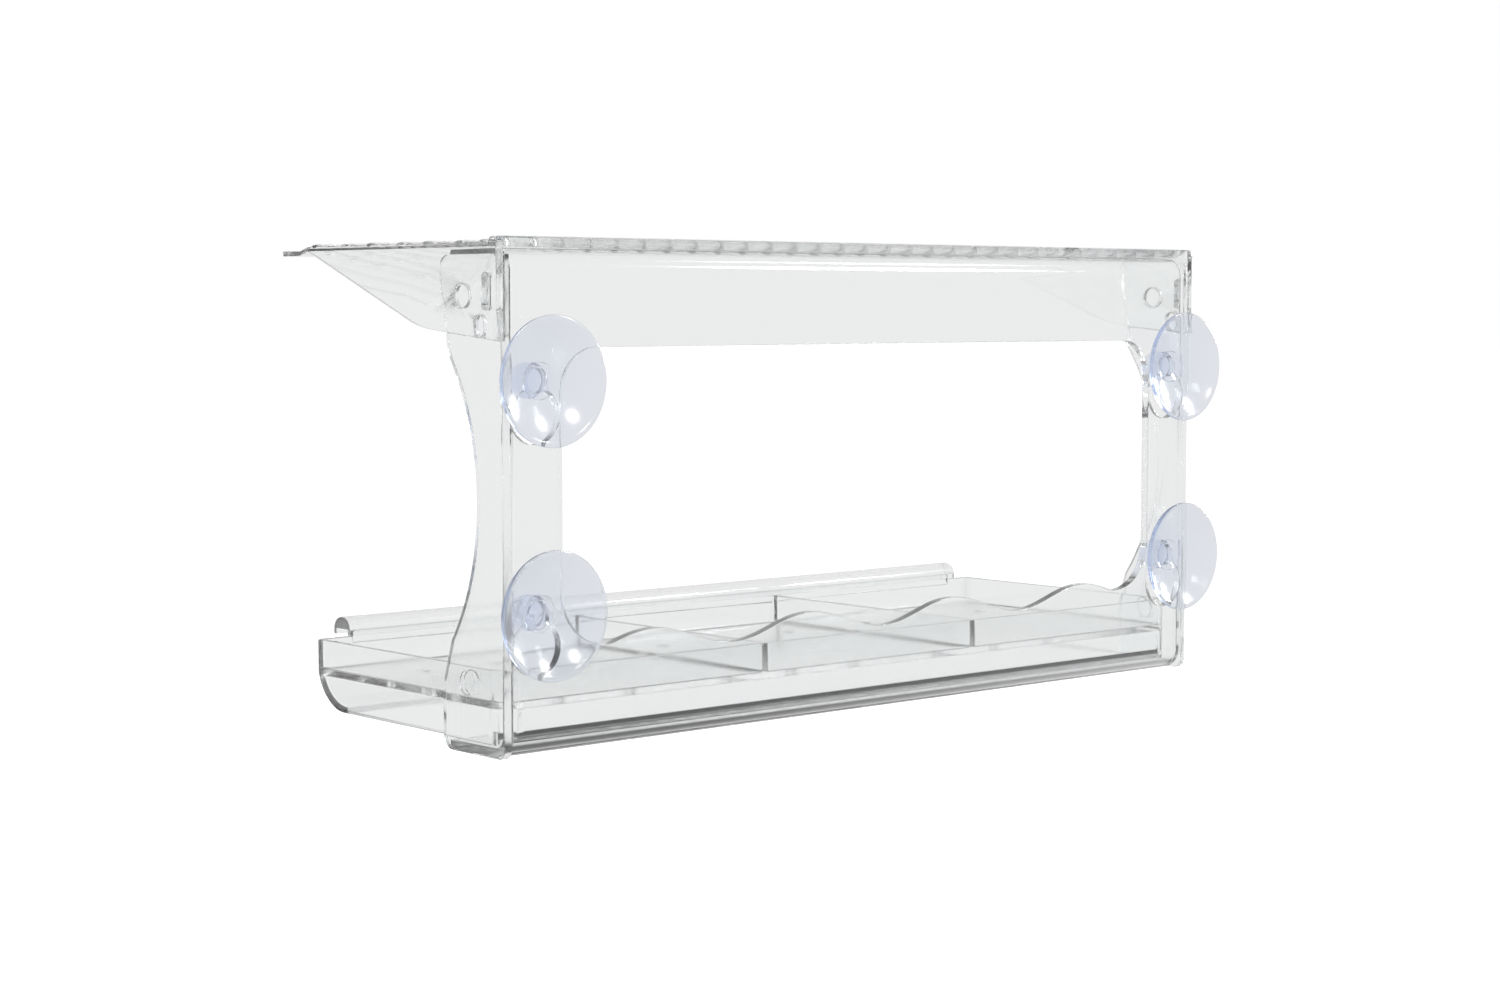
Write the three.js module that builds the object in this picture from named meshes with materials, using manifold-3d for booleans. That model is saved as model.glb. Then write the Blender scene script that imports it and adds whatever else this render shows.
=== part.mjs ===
// Window bird feeder: a clear housing that hangs on four suction cups, a snapped-on roof,
// a seed tray that slides out towards the birds, and a perch rail clipped over the tray's rim.
// Millimetres, +Z up, +X along the housing, +Y towards the window glass.
// The group's origin lies on the glass, in the middle of the four cups.
// Inside the group, the housing's rear face is Y = 0 and its underside is Z = 0.

import * as THREE from 'three';
import { mergeVertices } from 'three/addons/utils/BufferGeometryUtils.js';
import Module from 'manifold-3d';

// Driving dimensions

const gap = 0.3;                    // running gap, and seat gap between glued or snapped pieces
const overrun = 2;                  // how far a cutter runs past what it cuts

const housingLength = 300;          // outside of the two side plates
const housingHeight = 145.6;        // underside to the top of the upper flange
const plateThickness = 3;           // rear plate
const bendRadius = 7;               // outside of the two long bends
const shelfThickness = 2.6;
const shelfDepth = 29;
const flangeThickness = 1.6;
const flangeDepth = 28;

const windowKeyholeWall = 1.3;      // plate left between the viewing window and a keyhole
const windowTopDrop = 28.4;         // top of the flange to the top of the window
const windowTopRadius = 13;
const windowBottomRadius = 16;
const sillHeight = 30.5;            // middle height of the wavy sill
const sillWaveHeight = 3.3;
const sillWaveLength = 63.4;
const sillStepsPerHalfWave = 5;

const sideThickness = 2.7;
const sideDepth = 30.2;             // widest reach from the rear face
const sideTopDrop = 1.6;            // heights near the top are given as drops from the flange
const sideTopRadius = 4;
const sideBottomRadius = 4.5;       // bottom corner in front
const sideRearRadius = 3;           // bottom corner at the rear
const waistDepth = 12.9;            // rear face to the hollowed front edge at its waist
const waistHollow = 13;             // depth of that hollow
const waistTopDrop = 31.4;
const waistBottomHeight = 32.2;
const headNeckDepth = 27.3;         // front edge just under the roof's wall
const headNeckDrop = 24.9;
const headFrontDrop = 8.4;
const footFrontHeight = 19.2;
const rebateDepth = 1.1;            // step that takes the roof's wall

const upperPegDepth = 17.1;         // places of the two snap pegs on a side plate
const upperPegDrop = 13.6;
const upperPegRadius = 3.4;
const lowerPegDepth = 8.5;
const lowerPegDrop = 22.2;
const lowerPegHalfWidth = 2;        // the lower peg is an upright oval
const lowerPegHalfHeight = 3.1;
const guideDepth = 18.2;            // button that steers the tray
const guideHeight = 20.5;
const guideRadius = 3.6;

const roofWallThickness = 2.6;
const roofPlateThickness = 1.5;
const roofReach = 115.5;            // rear face to the front lip
const lipDepth = 11.5;              // flat strip along the roof's front
const lipThickness = 1.6;
const lipStep = 1.3;                // lowest shingle edge over the lip's top
const lipSlopeDepth = 4.5;
const shingleRows = 6;
const shingleStep = 0.75;           // how far one row stands over the next
const roofRimDepth = 4.2;
const roofRimRise = 0.7;            // rear rim over the highest shingle
const roofEdgeRadius = 1.6;
const roofCornerRadius = 4;
const wallSetback = 0.5;            // shingles' front end to where a roof wall runs out
const wallKneeDepth = 38.5;
const wallKneeDrop = 22.8;
const wallRearDrop = 26.2;
const wallKneeRun = 6;              // half of the rounded stretch at the knee
const slotDepth = 5.2;              // relief slot over the lower peg
const slotTopDrop = 7;
const slotLength = 10.8;
const slotWidth = 3.6;

const trayFront = 105;              // rear face to the tray's outer front
const trayEndClearance = 1.3;       // tray to a side plate
const trayRearClearance = 2.3;      // tray to the rear plate
const trayHeight = 21.9;
const trayWall = 1.8;
const trayFloor = 1.8;
const trayFloorRise = 12.5;         // skirt's lower edge to the top of the raised floor
const trayCornerRadius = 6;         // upright corners at the rear
const trayFrontCornerRadius = 1.2;  // upright corners at the front
const trayFrontRadius = 16;         // long bottom edge at the front
const trayRearRadius = 4;           // long bottom edge at the rear
const trayEdgeRadius = 0.9;         // bottom edges at the ends, and the edges round a compartment
const dividerPlace = 46.2;          // middle of the tray to the middle of a divider
const dividerThickness = 2;
const drainRadius = 2;
const drainCount = 3;               // drain holes in each compartment
const drainSpacing = 28;
const drainInset = 27;              // tray's front to the row of drain holes
const tongueRise = 1.9;             // strip on the front rim that carries the perch
const tongueEndInset = 12;

const perchOverhang = 2;            // past each end of the tongue
const perchWidth = 9.3;
const perchWall = 1.5;
const perchSide = 2;                // straight part of a side, under the rounded top
const perchRound = 3.7;             // height of the rounded top
const perchLift = 0.4;              // over the tray's rim

const lowerCupHeight = 41.3;
const upperCupDrop = 37.7;
const cupRadius = 18.8;
const cupStandoff = 8.8;            // rear face to the glass
const cupLipWidth = 1.2;
const cupLipThickness = 0.6;
const cupCrown = 4.2;               // glass side of the cup at its axis, from the rear face
const collarRadius = 5.5;
const collarThickness = 1.3;
const neckRadius = 3.6;
const knobRadius = 5.2;
const knobLength = 4.7;
const knobRounding = 1.6;
const knobClearance = 3;            // round a knob in the wide part of its keyhole
const keyholeEndWall = 0.6;         // plate left between a keyhole and the frame's end
const keyholeDrop = 10;             // cup axis to the middle of the wide part

const arcSteps = 6;                 // facets in a quarter turn of most corners
const fineSteps = 16;               // facets in a full turn of a peg or hole
const cornerSteps = fineSteps / 4;
const cupCurveSteps = 4;            // facets along each curve of a cup's profile
const cupSteps = 24;

// Sizes worked out from the driving dimensions

const sideInner = housingLength / 2 - sideThickness;
const sideTop = housingHeight - sideTopDrop;
const frameHalf = sideInner - gap;
const innerBendRadius = bendRadius - plateThickness;
const keyholeRadius = knobRadius + knobClearance;
const cupPlace = frameHalf - keyholeEndWall - keyholeRadius;
const upperCupHeight = housingHeight - upperCupDrop;
const cupMiddleHeight = (lowerCupHeight + upperCupHeight) / 2;
const windowHalfWidth = cupPlace - keyholeRadius - windowKeyholeWall;
const windowTop = housingHeight - windowTopDrop;
const upperPegHeight = housingHeight - upperPegDrop;
const lowerPegHeight = housingHeight - lowerPegDrop;
const rebateFace = housingLength / 2 - rebateDepth;
const roofWallInner = rebateFace + gap;
const roofHalfLength = roofWallInner + roofWallThickness;
const roofUnderside = housingHeight + gap;
const shingleLow = roofUnderside + roofPlateThickness;
const shingleHigh = shingleLow + shingleStep;
const roofRimTop = shingleHigh + roofRimRise;
const lipTop = shingleLow - lipStep;
const wallFrontDepth = roofReach - lipDepth - lipSlopeDepth - wallSetback;
const wallKneeHeight = housingHeight - wallKneeDrop;
const wallRearHeight = housingHeight - wallRearDrop;
const slotTopHeight = housingHeight - slotTopDrop;
const trayRear = plateThickness + trayRearClearance;
const trayHalfLength = sideInner - trayEndClearance;
const tongueHalfLength = trayHalfLength - tongueEndInset;
const perchHalfLength = tongueHalfLength + perchOverhang;
const trayUnderside = shelfThickness + gap;
const trayRim = trayUnderside + trayHeight;
const perchBottom = trayRim + perchLift;
const perchShoulder = perchBottom + perchSide;
const perchRear = -trayFront + trayWall + gap + perchWall;
const perchMiddle = perchRear - perchWidth / 2;
const tongueTop = trayRim + tongueRise;

// Solids from three.js geometries

const wasm = await Module();
wasm.setup();

function toSolid(geometry) {
  const bare = geometry.clone();
  bare.deleteAttribute('normal');
  bare.deleteAttribute('uv');
  const merged = mergeVertices(bare);
  return new wasm.Manifold(new wasm.Mesh({
    numProp: 3,
    vertProperties: new Float32Array(merged.attributes.position.array),
    triVerts: new Uint32Array(merged.index.array),
  }));
}

function toGeometry(solid) {
  const mesh = solid.getMesh();
  const geometry = new THREE.BufferGeometry();
  geometry.setAttribute('position', new THREE.BufferAttribute(new Float32Array(mesh.vertProperties), 3));
  geometry.setIndex(new THREE.BufferAttribute(new Uint32Array(mesh.triVerts), 1));
  const flat = geometry.toNonIndexed();
  flat.computeVertexNormals();
  return flat;
}

const axisX = new THREE.Vector3(1, 0, 0);
const axisY = new THREE.Vector3(0, 1, 0);
const axisZ = new THREE.Vector3(0, 0, 1);

function extrude(outline, from, to, steps, basis) {
  const geometry = new THREE.ExtrudeGeometry(outline, {
    depth: to - from,
    bevelEnabled: false,
    curveSegments: steps,
  });
  geometry.translate(0, 0, from);
  geometry.applyMatrix4(basis);
  return toSolid(geometry);
}

// Outline drawn as (Y, Z) and run along X
function alongX(outline, from, to, steps = arcSteps) {
  return extrude(outline, from, to, steps, new THREE.Matrix4().makeBasis(axisY, axisZ, axisX));
}

// Outline drawn as (X, Z) and run along Y
function alongY(outline, from, to, steps = arcSteps) {
  const backwards = axisY.clone().negate();
  return extrude(outline, -to, -from, steps, new THREE.Matrix4().makeBasis(axisX, axisZ, backwards));
}

// Outline drawn as (X, Y) and run along Z
function alongZ(outline, from, to, steps = arcSteps) {
  return extrude(outline, from, to, steps, new THREE.Matrix4());
}

// Box outline with a radius of its own at each corner, from the lower left one anticlockwise
function roundedBox(left, low, right, high, radii) {
  const [lowLeft, lowRight, highRight, highLeft] = radii;
  const shape = new THREE.Shape();
  shape.moveTo(left + lowLeft, low);
  shape.lineTo(right - lowRight, low);
  if (lowRight > 0) shape.absarc(right - lowRight, low + lowRight, lowRight, -Math.PI / 2, 0);
  shape.lineTo(right, high - highRight);
  if (highRight > 0) shape.absarc(right - highRight, high - highRight, highRight, 0, Math.PI / 2);
  shape.lineTo(left + highLeft, high);
  if (highLeft > 0) shape.absarc(left + highLeft, high - highLeft, highLeft, Math.PI / 2, Math.PI);
  shape.lineTo(left, low + lowLeft);
  if (lowLeft > 0) shape.absarc(left + lowLeft, low + lowLeft, lowLeft, Math.PI, Math.PI * 3 / 2);
  return shape;
}

function disc(across, up, radius) {
  const shape = new THREE.Shape();
  shape.absarc(across, up, radius, 0, Math.PI * 2);
  return shape;
}

function mirrorInX(solid) {
  return solid.mirror([1, 0, 0]);
}

// Materials

const clearPlastic = () => new THREE.MeshStandardMaterial({
  color: 0xe9ebec,
  roughness: 0.08,
  metalness: 0,
});
const clearVinyl = () => new THREE.MeshStandardMaterial({
  color: 0xd3deee,
  roughness: 0.15,
  metalness: 0,
});

const feeder = new THREE.Group();
feeder.name = 'window_bird_feeder';
const assembly = new THREE.Group();
assembly.position.set(0, -cupStandoff, -cupMiddleHeight);
feeder.add(assembly);

function addPiece(name, solid, material) {
  const mesh = new THREE.Mesh(toGeometry(solid), material);
  mesh.name = name;
  assembly.add(mesh);
  return mesh;
}

// Rear frame: a plate bent forwards into a shelf below and a flange above

function frameSection() {
  const topInside = housingHeight - flangeThickness;
  const bendMiddle = -plateThickness - innerBendRadius;
  const shape = new THREE.Shape();
  shape.moveTo(-shelfDepth, 0);
  shape.lineTo(-bendRadius, 0);
  shape.absarc(-bendRadius, bendRadius, bendRadius, -Math.PI / 2, 0);
  shape.lineTo(0, housingHeight - bendRadius);
  shape.absarc(-bendRadius, housingHeight - bendRadius, bendRadius, 0, Math.PI / 2);
  shape.lineTo(-flangeDepth, housingHeight);
  shape.lineTo(-flangeDepth, topInside);
  shape.lineTo(bendMiddle, topInside);
  shape.absarc(bendMiddle, topInside - innerBendRadius, innerBendRadius, Math.PI / 2, 0, true);
  shape.lineTo(-plateThickness, shelfThickness + innerBendRadius);
  shape.absarc(bendMiddle, shelfThickness + innerBendRadius, innerBendRadius, 0, -Math.PI / 2, true);
  shape.lineTo(-shelfDepth, shelfThickness);
  return shape;
}

// Viewing window: rounded above, and wavy along the sill
function windowOutline() {
  const halfWave = sillWaveLength / 2;
  const halfWavesEachWay = Math.floor((windowHalfWidth - windowBottomRadius) / halfWave - 1 / 2) + 1 / 2;
  const waveEnd = halfWavesEachWay * halfWave;
  const top = windowTop - windowTopRadius;
  const side = windowHalfWidth - windowTopRadius;
  const cornerX = windowHalfWidth - windowBottomRadius;
  const cornerZ = sillHeight + windowBottomRadius;
  const shape = new THREE.Shape();
  const steps = 2 * halfWavesEachWay * sillStepsPerHalfWave;
  for (let i = 0; i <= steps; i += 1) {
    const x = -waveEnd + 2 * waveEnd * i / steps;
    const z = sillHeight - sillWaveHeight * Math.cos(2 * Math.PI * x / sillWaveLength);
    if (i === 0) shape.moveTo(x, z);
    else shape.lineTo(x, z);
  }
  shape.absarc(cornerX, cornerZ, windowBottomRadius, -Math.PI / 2, 0);
  shape.absarc(side, top, windowTopRadius, 0, Math.PI / 2);
  shape.absarc(-side, top, windowTopRadius, Math.PI / 2, Math.PI);
  shape.absarc(-cornerX, cornerZ, windowBottomRadius, Math.PI, Math.PI * 3 / 2);
  return shape;
}

function keyhole(across, up) {
  const wide = alongY(disc(across, up - keyholeDrop, keyholeRadius),
    -plateThickness - overrun, overrun, fineSteps / 2);
  const slotHalf = neckRadius + gap;
  const slotOutline = roundedBox(across - slotHalf, up - keyholeDrop, across + slotHalf, up + slotHalf,
    [0, 0, slotHalf, slotHalf]);
  const slot = alongY(slotOutline, -plateThickness - overrun, overrun, cornerSteps);
  return wide.add(slot);
}

let rearFrame = alongX(frameSection(), -frameHalf, frameHalf);
rearFrame = rearFrame.subtract(alongY(windowOutline(), -plateThickness - overrun, overrun));
for (const across of [-cupPlace, cupPlace]) {
  for (const up of [lowerCupHeight, upperCupHeight]) {
    rearFrame = rearFrame.subtract(keyhole(across, up));
  }
}
addPiece('rear_frame', rearFrame, clearPlastic());

// Side plates: waisted front edge, a step for the roof's wall, two snap pegs and a tray button

function sideOutline() {
  const waistTop = housingHeight - waistTopDrop;
  const waistHeight = (waistTop + waistBottomHeight) / 2;
  const waistHalf = (waistTop - waistBottomHeight) / 2;
  const waistRadius = (waistHalf ** 2 + waistHollow ** 2) / (2 * waistHollow);
  const waistMiddle = -waistDepth - waistRadius;
  const waistAngle = Math.asin(waistHalf / waistRadius);
  const waistEnd = -waistDepth - waistHollow;
  const headNeckHeight = housingHeight - headNeckDrop;
  const footBend = (footFrontHeight + waistBottomHeight) / 2;
  const headBend = (waistTop + headNeckHeight) / 2;
  const shape = new THREE.Shape();
  shape.moveTo(0, sideRearRadius);
  shape.lineTo(0, sideTop);
  shape.lineTo(-sideDepth + sideTopRadius, sideTop);
  shape.absarc(-sideDepth + sideTopRadius, sideTop - sideTopRadius, sideTopRadius,
    Math.PI / 2, Math.PI);
  shape.lineTo(-sideDepth, housingHeight - headFrontDrop);
  shape.lineTo(-headNeckDepth, headNeckHeight);
  shape.quadraticCurveTo(-headNeckDepth, headBend, waistEnd, waistTop);
  shape.absarc(waistMiddle, waistHeight, waistRadius, waistAngle, -waistAngle, true);
  shape.quadraticCurveTo((waistEnd - sideDepth) / 2, footBend, -sideDepth, footFrontHeight);
  shape.lineTo(-sideDepth, sideBottomRadius);
  shape.absarc(-sideDepth + sideBottomRadius, sideBottomRadius, sideBottomRadius,
    Math.PI, Math.PI * 3 / 2);
  shape.lineTo(-sideRearRadius, 0);
  shape.absarc(-sideRearRadius, sideRearRadius, sideRearRadius, -Math.PI / 2, 0);
  return shape;
}

// Lower edge of the roof's wall behind its knee: height at a distance from the rear face
function wallEdgeHeight(depth) {
  return wallRearHeight + (wallKneeHeight - wallRearHeight) * depth / wallKneeDepth;
}

function rebateOutline() {
  const front = sideDepth + overrun;
  const shape = new THREE.Shape();
  shape.moveTo(overrun, wallEdgeHeight(-overrun) - gap);
  shape.lineTo(overrun, sideTop + overrun);
  shape.lineTo(-front, sideTop + overrun);
  shape.lineTo(-front, wallEdgeHeight(front) - gap);
  return shape;
}

// The lower peg and its hole, which is wider by the given margin
function lowerPegOutline(margin) {
  const half = lowerPegHalfWidth + margin;
  const low = lowerPegHeight - lowerPegHalfHeight - margin;
  const high = lowerPegHeight + lowerPegHalfHeight + margin;
  return roundedBox(-lowerPegDepth - half, low, -lowerPegDepth + half, high, Array(4).fill(half));
}

function sidePlate() {
  const outside = housingLength / 2;
  const pegEnd = roofHalfLength - gap;
  const guideEnd = trayHalfLength + gap;
  let plate = alongX(sideOutline(), sideInner, outside, 2 * arcSteps);
  plate = plate.subtract(alongX(rebateOutline(), rebateFace, outside + overrun));
  const pegStart = sideInner + rebateDepth;
  const upperPeg = disc(-upperPegDepth, upperPegHeight, upperPegRadius);
  plate = plate.add(alongX(upperPeg, pegStart, pegEnd, fineSteps));
  plate = plate.add(alongX(lowerPegOutline(0), pegStart, pegEnd, cornerSteps));
  const button = disc(-guideDepth, guideHeight, guideRadius);
  return plate.add(alongX(button, guideEnd, outside - rebateDepth, fineSteps));
}

addPiece('side_plate_left', sidePlate(), clearPlastic());
addPiece('side_plate_right', mirrorInX(sidePlate()), clearPlastic());

// Roof: a shingled plate with a front lip and a rear rim, and a wall down each side

function roofSection() {
  const lipStart = -roofReach;
  const lipEnd = lipStart + lipDepth;
  const tilesStart = lipEnd + lipSlopeDepth;
  const tilesEnd = -roofRimDepth;
  const row = (tilesEnd - tilesStart) / shingleRows;
  const shape = new THREE.Shape();
  shape.moveTo(lipStart, lipTop - lipThickness);
  shape.lineTo(lipEnd, lipTop - lipThickness);
  shape.lineTo(tilesStart, roofUnderside);
  shape.lineTo(0, roofUnderside);
  shape.lineTo(0, roofRimTop);
  shape.lineTo(tilesEnd, roofRimTop);
  for (let i = shingleRows; i > 0; i -= 1) {
    shape.lineTo(tilesStart + row * i, shingleLow);
    shape.lineTo(tilesStart + row * (i - 1), shingleHigh);
  }
  shape.lineTo(lipEnd, lipTop);
  shape.lineTo(lipStart, lipTop);
  return shape;
}

function roofWallOutline() {
  const frontSlope = (roofUnderside - wallKneeHeight) / (wallFrontDepth - wallKneeDepth);
  const shape = new THREE.Shape();
  shape.moveTo(0, wallRearHeight);
  shape.lineTo(0, shingleLow);
  shape.lineTo(-wallFrontDepth, shingleLow);
  shape.lineTo(-wallFrontDepth, roofUnderside);
  shape.lineTo(-wallKneeDepth - wallKneeRun, wallKneeHeight + wallKneeRun * frontSlope);
  shape.quadraticCurveTo(-wallKneeDepth, wallKneeHeight,
    -wallKneeDepth + wallKneeRun, wallEdgeHeight(wallKneeDepth - wallKneeRun));
  return shape;
}

function roofWall() {
  const from = roofWallInner - overrun;
  const to = roofHalfLength + overrun;
  const half = slotWidth / 2;
  const upperHole = disc(-upperPegDepth, upperPegHeight, upperPegRadius + gap);
  const slot = roundedBox(-slotDepth - half, slotTopHeight - slotLength, -slotDepth + half, slotTopHeight,
    Array(4).fill(half));
  return alongX(roofWallOutline(), roofWallInner, roofHalfLength)
    .subtract(alongX(upperHole, from, to, fineSteps))
    .subtract(alongX(lowerPegOutline(gap), from, to, cornerSteps))
    .subtract(alongX(slot, from, to, cornerSteps));
}

function roof() {
  const plate = alongX(roofSection(), -roofHalfLength, roofHalfLength);
  const wall = roofWall();
  const whole = plate.add(wall).add(mirrorInX(wall));
  const front = roundedBox(-roofHalfLength, 0, roofHalfLength, roofRimTop,
    [0, 0, roofEdgeRadius, roofEdgeRadius]);
  const plan = roundedBox(-roofHalfLength, -roofReach, roofHalfLength, 0,
    [roofCornerRadius, roofCornerRadius, 0, 0]);
  return whole
    .intersect(alongY(front, -roofReach - overrun, overrun, arcSteps / 2))
    .intersect(alongZ(plan, 0, roofRimTop + overrun));
}

addPiece('roof', roof(), clearPlastic());

// Seed tray: three compartments over a raised floor with drain holes, a skirt that stands on
// the shelf, and a tongue along the front rim for the perch

// What is common to three outlines: from the front, from the side and from above. The bottom
// edges' radii are given for the left, the right, the front and the rear.
function trayBlock(left, right, inset, low, high, cornerRadii, bottomRadii) {
  const [leftRadius, rightRadius, frontRadius, rearRadius] = bottomRadii;
  const front = -trayFront + inset;
  const rear = -trayRear - inset;
  const endOn = roundedBox(left, low, right, high, [leftRadius, rightRadius, 0, 0]);
  const sideOn = roundedBox(front, low, rear, high, [frontRadius, rearRadius, 0, 0]);
  const plan = roundedBox(left, front, right, rear, cornerRadii);
  return alongY(endOn, front - overrun, rear + overrun)
    .intersect(alongX(sideOn, left - overrun, right + overrun))
    .intersect(alongZ(plan, low - overrun, high + overrun));
}

// Space inside the skirt: it follows the curves in front and behind, and is open between them
function underTray(innerEnd, innerCorner, high) {
  const low = trayUnderside + trayWall;
  const space = trayBlock(-innerEnd, innerEnd, trayWall, low, trayRim, [0, 0, innerCorner, innerCorner],
    [0, 0, trayFrontRadius - trayWall, trayRearRadius - trayWall]).trimByPlane([0, 0, -1], -high);
  const opening = roundedBox(-innerEnd, -trayFront + trayFrontRadius, innerEnd, -trayRear - trayRearRadius,
    [0, 0, 0, 0]);
  return space.add(alongZ(opening, trayUnderside - overrun, high));
}

function tray() {
  const innerEnd = trayHalfLength - trayWall;
  const innerCorner = trayCornerRadius - trayWall;
  const nearDivider = dividerPlace - dividerThickness / 2;
  const farDivider = dividerPlace + dividerThickness / 2;
  const floor = trayUnderside + trayFloorRise;
  const edge = trayEdgeRadius;
  const edges = Array(4).fill(edge);
  const middle = trayBlock(-nearDivider, nearDivider, trayWall, floor, trayRim + overrun, edges, edges);
  const right = trayBlock(farDivider, innerEnd, trayWall, floor, trayRim + overrun,
    [edge, edge, innerCorner, edge], edges);
  let body = trayBlock(-trayHalfLength, trayHalfLength, 0, trayUnderside, trayRim,
    [trayFrontCornerRadius, trayFrontCornerRadius, trayCornerRadius, trayCornerRadius],
    [edge, edge, trayFrontRadius, trayRearRadius]);
  body = body.subtract(middle).subtract(right).subtract(mirrorInX(right));
  body = body.subtract(underTray(innerEnd, innerCorner, floor - trayFloor));
  const compartments = [-(farDivider + innerEnd) / 2, 0, (farDivider + innerEnd) / 2];
  for (const centre of compartments) {
    for (let i = 0; i < drainCount; i += 1) {
      const across = centre + (i - (drainCount - 1) / 2) * drainSpacing;
      body = body.subtract(alongZ(disc(across, drainInset - trayFront, drainRadius),
        floor - trayFloor - overrun, floor + overrun, fineSteps / 2));
    }
  }
  const tongue = roundedBox(-tongueHalfLength, trayRim - overrun, tongueHalfLength, tongueTop, [0, 0, 0, 0]);
  return body.add(alongY(tongue, -trayFront, -trayFront + trayWall));
}

addPiece('seed_tray', tray(), clearPlastic());

// Perch rail: a round-topped bar with two legs, which sits astride the tray's tongue

function perch() {
  const half = perchWidth / 2;
  const outer = new THREE.Shape();
  outer.moveTo(perchMiddle - half, perchBottom);
  outer.lineTo(perchMiddle + half, perchBottom);
  outer.lineTo(perchMiddle + half, perchShoulder);
  outer.absellipse(perchMiddle, perchShoulder, half, perchRound, 0, Math.PI, false, 0);
  const between = roundedBox(perchMiddle - half + perchWall, perchBottom - overrun,
    perchMiddle + half - perchWall, tongueTop + gap, [0, 0, 0, 0]);
  return alongX(outer, -perchHalfLength, perchHalfLength, fineSteps)
    .subtract(alongX(between, -perchHalfLength - overrun, perchHalfLength + overrun));
}

addPiece('perch_rail', perch(), clearPlastic());

// Suction cups: one soft moulding each, with a knob that hangs in a keyhole

function cupProfile() {
  const knobBack = -plateThickness - gap;
  const knobFront = knobBack - knobLength;
  const lipStart = cupStandoff - cupLipThickness;
  const collarEnd = gap + collarThickness;
  const path = new THREE.Path();
  path.moveTo(0, knobFront);
  path.lineTo(knobRadius - knobRounding, knobFront);
  path.absarc(knobRadius - knobRounding, knobFront + knobRounding, knobRounding, -Math.PI / 2, 0);
  path.lineTo(knobRadius, knobBack);
  path.lineTo(neckRadius, knobBack);
  path.lineTo(neckRadius, gap);
  path.lineTo(collarRadius, gap);
  path.lineTo(collarRadius, collarEnd);
  path.quadraticCurveTo((collarRadius + cupRadius) / 2, (collarEnd + cupCrown) / 2, cupRadius, lipStart);
  path.lineTo(cupRadius, cupStandoff);
  path.lineTo(cupRadius - cupLipWidth, cupStandoff);
  path.quadraticCurveTo(cupRadius / 2, cupCrown, 0, cupCrown);
  return path.getPoints(cupCurveSteps);
}

function cup(across, up) {
  const geometry = new THREE.LatheGeometry(cupProfile(), cupSteps);
  geometry.translate(across, 0, up);
  return toSolid(geometry);
}

const cupNames = [
  ['suction_cup_upper_left', cupPlace, upperCupHeight],
  ['suction_cup_upper_right', -cupPlace, upperCupHeight],
  ['suction_cup_lower_left', cupPlace, lowerCupHeight],
  ['suction_cup_lower_right', -cupPlace, lowerCupHeight],
];
for (const [name, across, up] of cupNames) {
  addPiece(name, cup(across, up), clearVinyl());
}

export default feeder;
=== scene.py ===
import math

import bmesh
import bpy
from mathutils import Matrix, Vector


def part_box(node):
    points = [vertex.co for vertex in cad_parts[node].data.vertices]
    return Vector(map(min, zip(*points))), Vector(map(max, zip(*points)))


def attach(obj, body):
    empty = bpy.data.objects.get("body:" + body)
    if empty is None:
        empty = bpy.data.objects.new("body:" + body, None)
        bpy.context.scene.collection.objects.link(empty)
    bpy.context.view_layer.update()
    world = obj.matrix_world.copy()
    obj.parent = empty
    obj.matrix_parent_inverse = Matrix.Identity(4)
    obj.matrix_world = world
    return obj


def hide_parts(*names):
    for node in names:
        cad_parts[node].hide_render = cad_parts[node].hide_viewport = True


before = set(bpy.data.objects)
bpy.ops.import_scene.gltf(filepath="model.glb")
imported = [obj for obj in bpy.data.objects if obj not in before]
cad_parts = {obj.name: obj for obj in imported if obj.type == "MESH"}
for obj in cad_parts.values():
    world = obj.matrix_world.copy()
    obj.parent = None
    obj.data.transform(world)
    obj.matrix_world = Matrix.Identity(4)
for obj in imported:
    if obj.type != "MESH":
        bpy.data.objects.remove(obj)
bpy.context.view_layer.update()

bpy.context.scene.view_settings.view_transform = "Standard"

# Rear frame
# One clear injection moulding: a plate with the viewing window and four keyholes, bent
# forwards through a large radius into a shelf under the tray and a flange under the roof.
# It is glued between the two side plates, and hangs on the suction cups.
MM = 0.001
frame_low, frame_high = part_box("rear_frame")
FRAME_HALF = 147.0
FRAME_HEIGHT = 145.6
PLATE = 3.0
BEND_OUTSIDE = 7.0
BEND_INSIDE = 4.0
SHELF_DEPTH = 29.0
SHELF_THICKNESS = 2.6
FLANGE_DEPTH = 28.0
FLANGE_THICKNESS = 1.6
WINDOW_HALF = 128.7
WINDOW_TOP = 117.2
WINDOW_TOP_RADIUS = 13.0
WINDOW_BOTTOM_RADIUS = 16.0
SILL = 30.5
SILL_WAVE = 3.3
SILL_HALF_WAVE = 31.7
SILL_HALF_WAVES = 7
SILL_STEPS = 84
CUP_PLACE = 138.2
CUP_HEIGHTS = (41.3, 107.9)
KEYHOLE_RADIUS = 8.2
KEYHOLE_DROP = 10.0
KEYHOLE_SLOT_HALF = 3.9
KEYHOLE_STEPS = 64
KEYHOLE_SLOT_STEPS = 10
WINDOW_SPLIT = 60.0
OVERRUN = 2.0               # how far a cutter runs past what it cuts
SAME_PLACE = 0.01           # points nearer than this are one corner
EDGE_BREAK = 0.35           # width of the broken edges
EDGE_ANGLE = 32             # degrees, from which an edge counts as sharp
EDGE_STEPS = 3
FLAT_WEIGHT = 80            # how far the large faces set the shading at an edge
BEND_STEPS = 20
ROUND_STEPS = 48


def place(x, y, z):
    """A point in mm from the middle of the rear face's lower edge, as metres in the frame."""
    return Vector((x * MM, frame_high.y + y * MM, frame_low.z + z * MM))


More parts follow.
